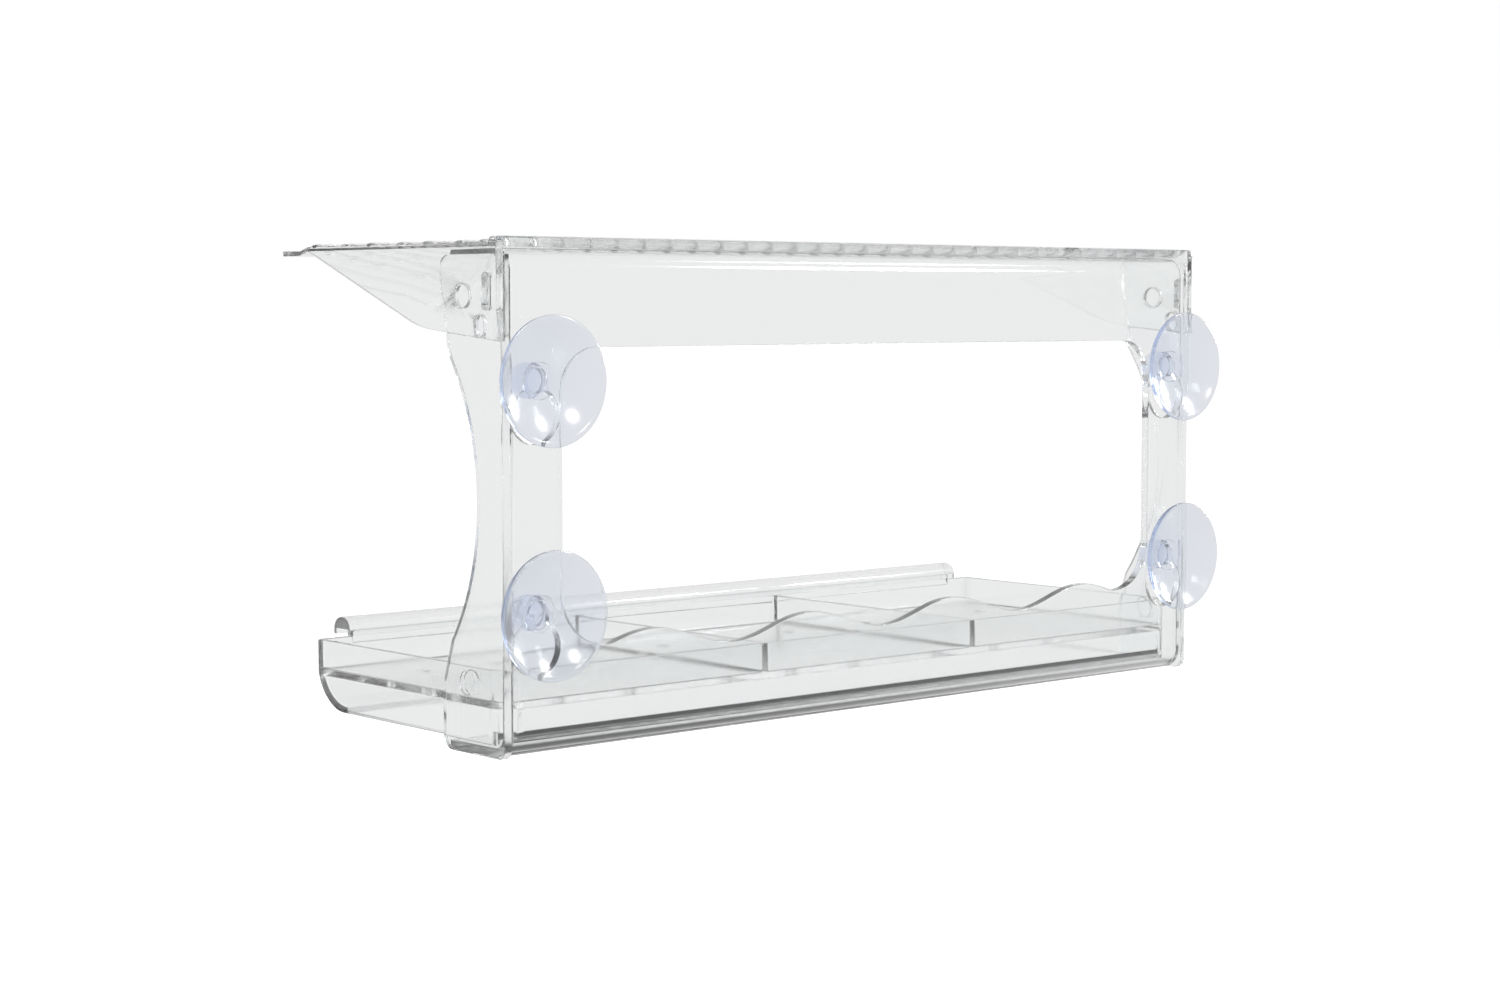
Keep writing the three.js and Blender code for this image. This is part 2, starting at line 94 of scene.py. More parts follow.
def draw(name, points):
    """An outline drawn vertex by vertex and filled with one face. It is left in edit mode."""
    bpy.ops.object.select_all(action="DESELECT")
    bpy.ops.mesh.primitive_plane_add(size=MM, location=(0, 0, 0))
    piece = bpy.context.object
    piece.name = piece.data.name = name
    bpy.ops.object.mode_set(mode="EDIT")
    bpy.ops.mesh.select_mode(type="VERT")
    bpy.ops.mesh.select_all(action="SELECT")
    bpy.ops.mesh.merge(type="CENTER")
    bpy.ops.transform.translate(value=points[0])
    for start, end in zip(points, points[1:]):
        bpy.ops.mesh.extrude_vertices_move(TRANSFORM_OT_translate={"value": end - start})
    bpy.ops.mesh.select_all(action="SELECT")
    bpy.ops.mesh.edge_face_add()
    return piece


def select(kind, test):
    """Selects the vertices, edges or faces of the mesh being edited that pass the test."""
    bpy.ops.mesh.select_mode(type={"verts": "VERT", "edges": "EDGE", "faces": "FACE"}[kind])
    bpy.ops.mesh.select_all(action="DESELECT")
    mesh = bmesh.from_edit_mesh(bpy.context.object.data)
    for element in getattr(mesh, kind):
        element.select_set(test(element))
    mesh.select_flush_mode()
    bmesh.update_edit_mesh(bpy.context.object.data)


def round_corner(corner, radius, steps=BEND_STEPS):
    """Rounds the corner of a drawn outline that lies at that point."""
    select("verts", lambda vert: (vert.co - corner).length < SAME_PLACE * MM)
    bpy.ops.mesh.bevel(offset=radius * MM, segments=steps, affect="VERTICES")


def thicken(*step):
    """Draws the whole outline out into a solid, by a step in mm, and closes the edit."""
    bpy.ops.mesh.select_all(action="SELECT")
    bpy.ops.mesh.extrude_region_move(TRANSFORM_OT_translate={"value": Vector(step) * MM})
    bpy.ops.mesh.select_all(action="SELECT")
    bpy.ops.mesh.normals_make_consistent(inside=False)
    bpy.ops.object.mode_set(mode="OBJECT")


def combine(piece, tool, operation):
    """Cuts a tool out of a piece, or joins or keeps what they share, and drops the tool."""
    change = piece.modifiers.new(operation.lower(), "BOOLEAN")
    change.operation = operation
    change.object = tool
    bpy.context.view_layer.objects.active = piece
    bpy.ops.object.modifier_apply(modifier=change.name)
    bpy.data.objects.remove(tool)


def soften(piece, width=EDGE_BREAK):
    """Breaks the sharp edges as a mould does, and evens the shading of the faces beside them."""
    bpy.ops.object.select_all(action="DESELECT")
    piece.select_set(True)
    bpy.context.view_layer.objects.active = piece
    bpy.ops.object.shade_smooth()
    edges = piece.modifiers.new("edges", "BEVEL")
    edges.width = width * MM
    edges.segments = EDGE_STEPS
    edges.angle_limit = math.radians(EDGE_ANGLE)
    edges.use_clamp_overlap = False
    bpy.ops.object.modifier_apply(modifier=edges.name)
    even = piece.modifiers.new("even", "WEIGHTED_NORMAL")
    even.weight = FLAT_WEIGHT
    bpy.ops.object.modifier_apply(modifier=even.name)


def disc(name, centre, axis, radius, length, steps=ROUND_STEPS):
    """A round bar or cutter that starts at a point and runs along an axis, in mm."""
    along = Vector(axis)
    bpy.ops.object.select_all(action="DESELECT")
    bpy.ops.mesh.primitive_cylinder_add(
        vertices=steps, radius=radius * MM, depth=length * MM,
        location=centre + along * length * MM / 2,
        rotation=along.to_track_quat("Z", "Y").to_euler())
    piece = bpy.context.object
    piece.name = piece.data.name = name
    bpy.ops.object.transform_apply(location=True, rotation=True, scale=True)
    return piece


def sill_height(x):
    """The height of the wavy sill at a place along the window."""
    return SILL - SILL_WAVE * math.cos(math.pi * x / SILL_HALF_WAVE)


def make_rear_frame():
    """The plate with its shelf and its flange, drawn end on and run from side to side."""
    flange_low = FRAME_HEIGHT - FLANGE_THICKNESS
    corners = {
        "shelf end low": (-SHELF_DEPTH, 0, 0),
        "outer low": (0, 0, BEND_OUTSIDE),
        "outer high": (0, FRAME_HEIGHT, BEND_OUTSIDE),
        "flange end high": (-FLANGE_DEPTH, FRAME_HEIGHT, 0),
        "flange end low": (-FLANGE_DEPTH, flange_low, 0),
        "inner high": (-PLATE, flange_low, BEND_INSIDE),
        "inner low": (-PLATE, SHELF_THICKNESS, BEND_INSIDE),
        "shelf end high": (-SHELF_DEPTH, SHELF_THICKNESS, 0),
    }
    points = [place(-FRAME_HALF, y, z) for y, z, radius in corners.values()]
    piece = draw("rear_frame_clear", points)
    for y, z, radius in corners.values():
        if radius:
            round_corner(place(-FRAME_HALF, y, z), radius)
    thicken(2 * FRAME_HALF, 0, 0)
    return piece


def cut_window(piece):
    """Cuts the viewing window, with a wavy sill and rounded corners."""
    reach = SILL_HALF_WAVE * SILL_HALF_WAVES / 2
    waves = [-reach + 2 * reach * i / SILL_STEPS for i in range(SILL_STEPS + 1)]
    outline = [(x, sill_height(x)) for x in waves]
    outline += [(WINDOW_HALF, SILL), (WINDOW_HALF, WINDOW_TOP)]
    outline += [(-WINDOW_HALF, WINDOW_TOP), (-WINDOW_HALF, SILL)]
    cutter = draw("window cutter", [place(x, OVERRUN, z) for x, z in outline])
    for side in (-1, 1):
        round_corner(place(side * WINDOW_HALF, OVERRUN, SILL), WINDOW_BOTTOM_RADIUS)
        round_corner(place(side * WINDOW_HALF, OVERRUN, WINDOW_TOP), WINDOW_TOP_RADIUS)
    thicken(0, -PLATE - 2 * OVERRUN, 0)
    combine(piece, cutter, "DIFFERENCE")


def cut_keyhole(piece, x, z):
    """Cuts a keyhole: a round hole with a narrower slot above it, which ends at the cup's axis."""
    reach = PLATE + 2 * OVERRUN
    wide = disc("keyhole cutter", place(x, OVERRUN, z - KEYHOLE_DROP), (0, -1, 0), KEYHOLE_RADIUS, reach,
                KEYHOLE_STEPS)
    combine(piece, wide, "DIFFERENCE")
    half = KEYHOLE_SLOT_HALF
    low = z - KEYHOLE_DROP
    outline = [(x - half, low), (x + half, low), (x + half, z + half), (x - half, z + half)]
    slot = draw("keyhole slot cutter", [place(across, OVERRUN, up) for across, up in outline])
    for across in (x - half, x + half):
        round_corner(place(across, OVERRUN, z + half), half - SAME_PLACE, KEYHOLE_SLOT_STEPS)
    thicken(0, -reach, 0)
    combine(piece, slot, "DIFFERENCE")


def split(piece, places):
    """Cuts the faces of a piece along planes, so that none of them runs round a hole."""
    bpy.context.view_layer.objects.active = piece
    bpy.ops.object.mode_set(mode="EDIT")
    for point, normal in places:
        bpy.ops.mesh.select_all(action="SELECT")
        bpy.ops.mesh.bisect(plane_co=point, plane_no=normal)
    bpy.ops.object.mode_set(mode="OBJECT")


rear_frame = make_rear_frame()
cut_window(rear_frame)
for cup_x in (-CUP_PLACE, CUP_PLACE):
    for cup_z in CUP_HEIGHTS:
        cut_keyhole(rear_frame, cup_x, cup_z)
window_middle = (SILL + WINDOW_TOP) / 2
upright_cuts = (-CUP_PLACE, -WINDOW_SPLIT, 0, WINDOW_SPLIT, CUP_PLACE)
split(rear_frame, [(place(x, 0, 0), (1, 0, 0)) for x in upright_cuts])
split(rear_frame, [(place(0, 0, z), (0, 0, 1)) for z in (*CUP_HEIGHTS, window_middle)])
soften(rear_frame)


# The plastic is clear acrylic, injection moulded in a fine mould: glossy, colourless and
# very slightly hazy, so that what lies close behind it is crisp and what lies far behind blurs.
ACRYLIC_IOR = 1.49
ACRYLIC_TINT = "FEFFFF"
FLOW_RIPPLE = 9.0          # mm between the faint ripples that the melt leaves
MOULD_GRAIN = 0.6          # mm, drawn coarser than the real grain so that it shows
RIPPLE_RANGE = (0.3, 0.7)  # where most of the noise's values lie
HAZE_SPREAD = 0.1          # how far the haze varies, as a share of it
RIPPLE_BUMP = (0.05, 0.1)  # strength, and depth in mm
GRAIN_BUMP = (0.02, 0.02)
FRAME_HAZE = 0.07


def linear(hex_colour):
    """An sRGB hex colour as the linear values that a shader takes."""
    channels = [int(hex_colour[i:i + 2], 16) / 255 for i in (0, 2, 4)]
    return (*(c / 12.92 if c <= 0.04045 else ((c + 0.055) / 1.055) ** 2.4 for c in channels), 1)


def add_node(tree, kind, settings=None, **links):
    """Adds a node, with settings by attribute or socket name and links by socket name or place."""
    made = tree.nodes.new("ShaderNode" + kind)
    for name, value in (settings or {}).items():
        if isinstance(name, str) and hasattr(made, name):
            setattr(made, name, value)
        else:
            made.inputs[name].default_value = value
    for name, source in links.items():
        socket = int(name[1:]) if name[1:].isdigit() else name.replace("_", " ")
        tree.links.new(source, made.inputs[socket])
    return made


def clear_plastic(name, haze):
    """Clear moulded acrylic, with a haze that varies faintly and a rippled, finely grained skin."""
    material = bpy.data.materials.new(name)
    material.use_nodes = True
    tree = material.node_tree
    shader = tree.nodes["Principled BSDF"]
    shader.inputs["Base Color"].default_value = linear(ACRYLIC_TINT)
    shader.inputs["Transmission Weight"].default_value = 1
    shader.inputs["IOR"].default_value = ACRYLIC_IOR
    where = add_node(tree, "TexCoord")
    ripple = add_node(tree, "TexNoise", {"Scale": 1 / (FLOW_RIPPLE * MM), "Detail": 2},
                      Vector=where.outputs["Object"])
    grain = add_node(tree, "TexNoise", {"Scale": 1 / (MOULD_GRAIN * MM), "Detail": 1},
                     Vector=where.outputs["Object"])
    cloud = add_node(tree, "MapRange", {
        "From Min": RIPPLE_RANGE[0], "From Max": RIPPLE_RANGE[1],
        "To Min": haze * (1 - HAZE_SPREAD), "To Max": haze * (1 + HAZE_SPREAD)}, Value=ripple.outputs[0])
    tree.links.new(cloud.outputs[0], shader.inputs["Roughness"])
    wave = add_node(tree, "Bump", {"Strength": RIPPLE_BUMP[0], "Distance": RIPPLE_BUMP[1] * MM},
                    Height=ripple.outputs[0])
    skin = add_node(tree, "Bump", {"Strength": GRAIN_BUMP[0], "Distance": GRAIN_BUMP[1] * MM},
                    Height=grain.outputs[0], Normal=wave.outputs[0])
    tree.links.new(skin.outputs[0], shader.inputs["Normal"])
    return material


rear_frame.data.materials.append(clear_plastic("clear acrylic, injection moulded", FRAME_HAZE))
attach(rear_frame, "housing")
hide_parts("rear_frame")


# Side plates
# Two flat clear cheeks with a waisted front edge, glued over the ends of the rear frame.
# Each is stepped near the top for the roof's wall, and carries two snap pegs outside and a
# round button inside that keeps the tray on its course. All of it is one moulding.
SIDE_INNER = 147.3
SIDE_STEP = 148.9           # the outer face over the step, inside the roof's wall
SIDE_OUTER = 150.0
SIDE_DEPTH = 30.2
SIDE_TOP = 144.0
SIDE_TOP_RADIUS = 4.0
SIDE_BOTTOM_RADIUS = 4.5
SIDE_REAR_RADIUS = 3.0
WAIST_TOP = 114.2
WAIST_BOTTOM = 32.2
WAIST_DEPTH = 12.9
WAIST_HOLLOW = 13.0
HEAD_NECK = (27.3, 120.7)
HEAD_FRONT = 137.2
FOOT_FRONT = 19.2
STEP_REAR = 119.1
STEP_KNEE = (38.5, 122.5)
PEG_START = 148.4
PEG_END = 151.5
UPPER_PEG = (17.1, 132.0)
UPPER_PEG_RADIUS = 3.4
LOWER_PEG = (8.5, 123.4)
LOWER_PEG_HALF = (2.0, 3.1)
BUTTON = (18.2, 20.5)
BUTTON_RADIUS = 3.6
BUTTON_START = 146.3
BUTTON_SINK = 0.25          # depth of the shrinkage mark behind the button, on the outer face
WAIST_STEPS = 36
NECK_STEPS = 5
FOOT_STEPS = 8
SIDE_CORNER_STEPS = 12
SIDE_REAR_STEPS = 10
OVAL_STEPS = 12
STEP_MIDDLE = 100.0         # a height well below the step, on the thick part of the plate
OUTWARD = 0.9               # a face whose normal has more than this of X looks outwards
SIDE_EDGE_BREAK = 0.3
SIDE_HAZE = 0.08


def curve(start, control, end, steps):
    """Points after the start of a curve that leaves and arrives in line with its control point."""
    points = []
    for i in range(1, steps + 1):
        t = i / steps
        points.append(tuple(s * (1 - t) ** 2 + c * 2 * t * (1 - t) + e * t ** 2
                            for s, c, e in zip(start, control, end)))
    return points


def waist():
    """The hollow front edge, an arc from top to bottom, as depths and heights."""
    half = (WAIST_TOP - WAIST_BOTTOM) / 2
    middle = (WAIST_TOP + WAIST_BOTTOM) / 2
    radius = (half ** 2 + WAIST_HOLLOW ** 2) / (2 * WAIST_HOLLOW)
    turn = math.asin(half / radius)
    angles = [turn - 2 * turn * i / WAIST_STEPS for i in range(WAIST_STEPS + 1)]
    return [(WAIST_DEPTH + radius - radius * math.cos(angle), middle + radius * math.sin(angle))
            for angle in angles]


def oval(depth, height, half_width, half_height):
    """A flat-sided upright oval, as depths and heights."""
    straight = half_height - half_width
    points = []
    for start, lift in ((0, straight), (math.pi, -straight)):
        for i in range(OVAL_STEPS + 1):
            angle = start + math.pi * i / OVAL_STEPS
            points.append((depth - half_width * math.cos(angle),
                           height + lift + half_width * math.sin(angle)))
    return points


def make_side_plate():
    """The plate of one end: outline, step, pegs, button and the sink mark behind the button."""
    arc = waist()
    outline = [(0, 0), (0, SIDE_TOP), (SIDE_DEPTH, SIDE_TOP), (SIDE_DEPTH, HEAD_FRONT), HEAD_NECK]
    neck_bend = (HEAD_NECK[0], (HEAD_NECK[1] + WAIST_TOP) / 2)
    outline += curve(HEAD_NECK, neck_bend, arc[0], NECK_STEPS) + arc[1:]
    foot_bend = ((arc[-1][0] + SIDE_DEPTH) / 2, (WAIST_BOTTOM + FOOT_FRONT) / 2)
    outline += curve(arc[-1], foot_bend, (SIDE_DEPTH, FOOT_FRONT), FOOT_STEPS) + [(SIDE_DEPTH, 0)]
    piece = draw("side_plate_clear", [place(SIDE_INNER, -depth, height) for depth, height in outline])
    round_corner(place(SIDE_INNER, -SIDE_DEPTH, SIDE_TOP), SIDE_TOP_RADIUS, SIDE_CORNER_STEPS)
    round_corner(place(SIDE_INNER, -SIDE_DEPTH, 0), SIDE_BOTTOM_RADIUS, SIDE_CORNER_STEPS)
    round_corner(place(SIDE_INNER, 0, 0), SIDE_REAR_RADIUS, SIDE_REAR_STEPS)
    thicken(SIDE_STEP - SIDE_INNER, 0, 0)
    bpy.ops.object.mode_set(mode="EDIT")
    select("faces", lambda face: face.normal.x > OUTWARD)
    along = place(0, -STEP_KNEE[0], STEP_KNEE[1]) - place(0, 0, STEP_REAR)
    across = Vector((1, 0, 0)).cross(along).normalized()
    bpy.ops.mesh.bisect(plane_co=place(0, 0, STEP_REAR), plane_no=across)
    middle = place(0, 0, STEP_MIDDLE).z
    select("faces", lambda face: face.normal.x > OUTWARD and face.calc_center_median().z < middle)
    bpy.ops.mesh.extrude_region_move(
        TRANSFORM_OT_translate={"value": ((SIDE_OUTER - SIDE_STEP) * MM, 0, 0)})
    bpy.ops.mesh.select_all(action="SELECT")
    bpy.ops.mesh.normals_make_consistent(inside=False)
    bpy.ops.object.mode_set(mode="OBJECT")
    peg_length = PEG_END - PEG_START
    upper = disc("upper peg", place(PEG_START, -UPPER_PEG[0], UPPER_PEG[1]), (1, 0, 0),
                 UPPER_PEG_RADIUS, peg_length)
    combine(piece, upper, "UNION")
    lower_outline = oval(*LOWER_PEG, *LOWER_PEG_HALF)
    lower = draw("lower peg", [place(PEG_START, -depth, height) for depth, height in lower_outline])
    thicken(peg_length, 0, 0)
    combine(piece, lower, "UNION")
    button = disc("button", place(BUTTON_START, -BUTTON[0], BUTTON[1]), (1, 0, 0), BUTTON_RADIUS,
                  SIDE_STEP - BUTTON_START)
    combine(piece, button, "UNION")
    sink = disc("sink mark", place(SIDE_OUTER - BUTTON_SINK, -BUTTON[0], BUTTON[1]), (1, 0, 0),
                BUTTON_RADIUS, OVERRUN)
    combine(piece, sink, "DIFFERENCE")
    split(piece, [(place(0, 0, z), (0, 0, 1)) for z in (BUTTON[1], LOWER_PEG[1], UPPER_PEG[1])])
    soften(piece, SIDE_EDGE_BREAK)
    return piece


def mirrored(piece, name):
    """A copy for the other end, with its faces turned out again."""
    bpy.ops.object.select_all(action="DESELECT")
    piece.select_set(True)
    bpy.context.view_layer.objects.active = piece
    bpy.ops.object.duplicate()
    other = bpy.context.object
    other.name = other.data.name = name
    bpy.ops.transform.mirror(constraint_axis=(True, False, False))
    bpy.ops.object.transform_apply(location=True, rotation=True, scale=True)
    bpy.ops.object.mode_set(mode="EDIT")
    bpy.ops.mesh.select_all(action="SELECT")
    bpy.ops.mesh.normals_make_consistent(inside=False)
    bpy.ops.object.mode_set(mode="OBJECT")
    return other


side_clear = clear_plastic("clear acrylic, polished side plate", SIDE_HAZE)
side_left = make_side_plate()
side_right = mirrored(side_left, "side_plate_right_clear")
side_left.name = side_left.data.name = "side_plate_left_clear"
for side, node_name in ((side_left, "side_plate_left"), (side_right, "side_plate_right")):
    side.data.materials.append(side_clear)
    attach(side, "housing")
    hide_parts(node_name)


# Roof
# One clear moulding: a plate with rows of round-ended tiles raised on it, a lower lip in
# front, a raised rim behind, and a wall down each side whose holes snap over the pegs.
ROOF_HALF = 151.8
ROOF_WALL_INNER = 149.2
ROOF_REACH = 115.5
LIP_END = 104.0
LIP_LOW = 144.5
LIP_HIGH = 146.1
SLOPE_END = 99.5
ROOF_UNDERSIDE = 145.9
TILE_LOW = 147.4
TILE_RISE = 0.65
TILE_WIDTH = 10.0
TILE_ROUND = 5.0
TILE_ROWS = (97.8, 82.6, 67.7, 52.8, 38.2, 23.1, 9.2)    # front tips of the rows, from the rear face
TILE_SHARES = ((0.0, 0.0), (0.035, 0.45), (0.08, 0.85), (0.15, 1.0), (0.24, 0.85), (0.33, 0.45),
               (0.45, 0.15), (0.7, 0.05))                # of a tile's length and rise, from its tip back
RIM_DEPTH = 4.2
RIM_TOP = 148.85
RIM_ROUND = 0.5
RIM_EASE = 0.15             # small flats that ease the rim's edges
LIP_EASE = 0.3              # the same for the bends of the lip and the slope
SLOPE_DROP = 0.1            # how far the slope's top lies under the first row of tiles
ROOF_CORNER = 4.0           # of the front corners, seen from above
ROOF_EDGE = 1.6             # of the long edges at both ends
ROOF_COLUMNS = 608
ROOF_SKIRT = 20.0           # how far the drawn top runs down before its underside is cut
ROOF_CUT = 5.0              # how far that cutter runs past the roof
ROOF_CUT_FLOOR = 110.0      # and where it starts
ROOF_SHARP = 38             # degrees
ROOF_HAZE = 0.05
WALL_KNEE = (38.5, 122.8)
WALL_KNEE_RUN = 6.0
WALL_REAR = 119.4
WALL_FRONT = 99.0
WALL_TOP = 146.8
SLOT = (5.2, 133.2)
SLOT_HALF = (1.8, 5.4)
PEG_CLEARANCE = 0.3
WALL_KNEE_STEPS = 10
WALL_EDGE_BREAK = 0.3


def tile_front(x, row):
    """How far a row's round front edge lies behind its tips, at a place along the roof."""
    shift = TILE_WIDTH / 2 if row % 2 else 0
    across = (x + shift + TILE_WIDTH / 2) % TILE_WIDTH - TILE_WIDTH / 2
    return TILE_ROUND - math.sqrt(max(TILE_ROUND ** 2 - across ** 2, 0))


def roof_lines():
    """The lines of the roof's top from front to back. Each gives a depth and a height for an x."""
    lip = [(ROOF_REACH, LIP_HIGH), (LIP_END + LIP_EASE, LIP_HIGH),
           (LIP_END - LIP_EASE, LIP_HIGH + LIP_EASE / 2), (SLOPE_END + LIP_EASE, TILE_LOW - SLOPE_DROP)]
    rim = [(RIM_DEPTH, TILE_LOW), (RIM_DEPTH - RIM_EASE, RIM_TOP - 2 * RIM_EASE),
           (RIM_DEPTH - RIM_ROUND, RIM_TOP), (RIM_ROUND, RIM_TOP), (RIM_EASE, RIM_TOP - RIM_EASE),
           (0.0, RIM_TOP - RIM_ROUND)]
    lines = [lambda x, point=point: point for point in lip]
    for row, tip in enumerate(TILE_ROWS):
        for share, rise in TILE_SHARES:
            def line(x, row=row, tip=tip, share=share, rise=rise):
                front = tip - tile_front(x, row)
                back = RIM_DEPTH
                if row + 1 < len(TILE_ROWS):
                    back = TILE_ROWS[row + 1] - tile_front(x, row + 1)
                return front + (back - front) * share, TILE_LOW + TILE_RISE * rise
            lines.append(line)
    lines += [lambda x, point=point: point for point in rim]
    return lines


def make_roof():
    """The tiled plate, a grid whose lines are moved to their places, with both walls joined on."""
    lines = roof_lines()
    bpy.ops.object.select_all(action="DESELECT")
    bpy.ops.mesh.primitive_grid_add(x_subdivisions=ROOF_COLUMNS, y_subdivisions=len(lines) - 1, size=2)
    piece = bpy.context.object
    piece.name = piece.data.name = "roof_clear"
    for vert in piece.data.vertices:
        line = lines[round((vert.co.y + 1) / 2 * (len(lines) - 1))]
        x = vert.co.x * ROOF_HALF
        depth, height = line(x)
        end = ROOF_HALF - abs(x)
        if end < ROOF_EDGE:
            height -= ROOF_EDGE - math.sqrt(ROOF_EDGE ** 2 - (ROOF_EDGE - end) ** 2)
        if end < ROOF_CORNER:
            corner = math.sqrt(ROOF_CORNER ** 2 - (ROOF_CORNER - end) ** 2)
            depth = min(depth, ROOF_REACH - ROOF_CORNER + corner)
        vert.co = place(x, -depth, height)
    bpy.ops.object.mode_set(mode="EDIT")
    bpy.ops.mesh.select_mode(type="EDGE")
    bpy.ops.mesh.select_all(action="SELECT")
    bpy.ops.mesh.region_to_loop()
    bpy.ops.mesh.extrude_region_move(TRANSFORM_OT_translate={"value": (0, 0, -ROOF_SKIRT * MM)})
    bpy.ops.mesh.edge_face_add()
    bpy.ops.mesh.select_all(action="SELECT")
    bpy.ops.mesh.normals_make_consistent(inside=False)
    bpy.ops.object.mode_set(mode="OBJECT")
    front = ROOF_REACH + ROOF_CUT
    under = [(front, LIP_LOW), (LIP_END, LIP_LOW), (SLOPE_END, ROOF_UNDERSIDE),
             (-ROOF_CUT, ROOF_UNDERSIDE), (-ROOF_CUT, ROOF_CUT_FLOOR), (front, ROOF_CUT_FLOOR)]
    end = -ROOF_HALF - ROOF_CUT
    below = draw("roof underside cutter", [place(end, -depth, height) for depth, height in under])
    thicken(-2 * end, 0, 0)
    combine(piece, below, "DIFFERENCE")
    for side in (-1, 1):
        combine(piece, roof_wall(side), "UNION")
    return piece


def roof_wall(side):
    """One wall of the roof, with holes for the two pegs and a relief slot over the lower one."""
    front_slope = (ROOF_UNDERSIDE - WALL_KNEE[1]) / (WALL_FRONT - WALL_KNEE[0])
    rear_slope = (WALL_KNEE[1] - WALL_REAR) / WALL_KNEE[0]
    before = (WALL_KNEE[0] + WALL_KNEE_RUN, WALL_KNEE[1] + WALL_KNEE_RUN * front_slope)
    after = (WALL_KNEE[0] - WALL_KNEE_RUN, WALL_KNEE[1] - WALL_KNEE_RUN * rear_slope)
    outline = [(0, WALL_REAR), (0, WALL_TOP), (WALL_FRONT, WALL_TOP), (WALL_FRONT, ROOF_UNDERSIDE),
               before]
    outline += curve(before, WALL_KNEE, after, WALL_KNEE_STEPS)
    wall = draw("roof wall", [place(side * ROOF_WALL_INNER, -depth, height) for depth, height in outline])
    thicken(side * (ROOF_HALF - ROOF_WALL_INNER), 0, 0)
    start = ROOF_WALL_INNER - OVERRUN
    reach = ROOF_HALF - ROOF_WALL_INNER + 2 * OVERRUN
    hole = disc("peg hole cutter", place(side * start, -UPPER_PEG[0], UPPER_PEG[1]), (side, 0, 0),
                UPPER_PEG_RADIUS + PEG_CLEARANCE, reach)
    combine(wall, hole, "DIFFERENCE")
    lower = oval(*LOWER_PEG, *(half + PEG_CLEARANCE for half in LOWER_PEG_HALF))
    for points in (lower, oval(*SLOT, *SLOT_HALF)):
        cutter = draw("slot cutter", [place(side * start, -depth, height) for depth, height in points])
        thicken(side * reach, 0, 0)
        combine(wall, cutter, "DIFFERENCE")
    soften(wall, WALL_EDGE_BREAK)
    return wall


roof = make_roof()
bpy.ops.object.select_all(action="DESELECT")
roof.select_set(True)
bpy.context.view_layer.objects.active = roof
bpy.ops.object.shade_smooth_by_angle(angle=math.radians(ROOF_SHARP))
roof_clear = clear_plastic("clear acrylic with a tiled relief, injection moulded", ROOF_HAZE)
roof.data.materials.append(roof_clear)
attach(roof, "housing")
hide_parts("roof")


# Seed tray
# One clear moulding with three compartments over a raised floor with nine small drain holes.
# Its skirt, swept under in a large radius in front, slides out over the shelf.
TRAY_HALF = 146.0
TRAY_FRONT = 105.0
TRAY_REAR = 5.3
TRAY_LOW = 2.9
TRAY_RIM = 24.8
TRAY_WALL = 1.8
TRAY_CORNER = 6.0
TRAY_FRONT_CORNER = 1.2
TRAY_FRONT_RADIUS = 16.0
TRAY_REAR_RADIUS = 4.0
TRAY_EDGE = 0.9
TRAY_FLOOR_TOP = 15.4
TRAY_FLOOR = 1.8
DIVIDER = 46.2
DIVIDER_THICKNESS = 2.0
DRAIN_RADIUS = 2.0
DRAIN_SPACING = 28.0
DRAIN_DEPTH = 78.0
TONGUE_HALF = 134.0
TONGUE_TOP = 26.7
TONGUE_CORNER = 1.0
PRISM_STEPS = 14
DRAIN_STEPS = 32
TRAY_EDGE_BREAK = 0.3
TRAY_HAZE = 0.09


def rounded_prism(name, start, step, corners):
    """A prism drawn on four corners, each with its radius, and run out by a step."""
    piece = draw(name, [start(a, b) for a, b, radius in corners])
    for a, b, radius in corners:
        if radius:
            round_corner(start(a, b), radius, PRISM_STEPS)
    thicken(*step)
    return piece


def trough(name, left, right, inset, low, high, corners, bottoms):
    """What the outlines from the front, the side and above have in common."""
    front = TRAY_FRONT - inset
    rear = TRAY_REAR + inset
    left_bottom, right_bottom, front_bottom, rear_bottom = bottoms
    piece = rounded_prism(
        name, lambda a, b: place(a, -front - OVERRUN, b), (0, front - rear + 2 * OVERRUN, 0),
        [(left, low, left_bottom), (right, low, right_bottom), (right, high, 0), (left, high, 0)])
    side_on = rounded_prism(
        "side outline", lambda a, b: place(left - OVERRUN, -a, b), (right - left + 2 * OVERRUN, 0, 0),
        [(front, low, front_bottom), (rear, low, rear_bottom), (rear, high, 0), (front, high, 0)])
    combine(piece, side_on, "INTERSECT")
    plan = rounded_prism(
        "plan outline", lambda a, b: place(a, -b, low - OVERRUN), (0, 0, high - low + 2 * OVERRUN),
        [(left, front, corners[0]), (right, front, corners[1]),
         (right, rear, corners[2]), (left, rear, corners[3])])
    combine(piece, plan, "INTERSECT")
    return piece


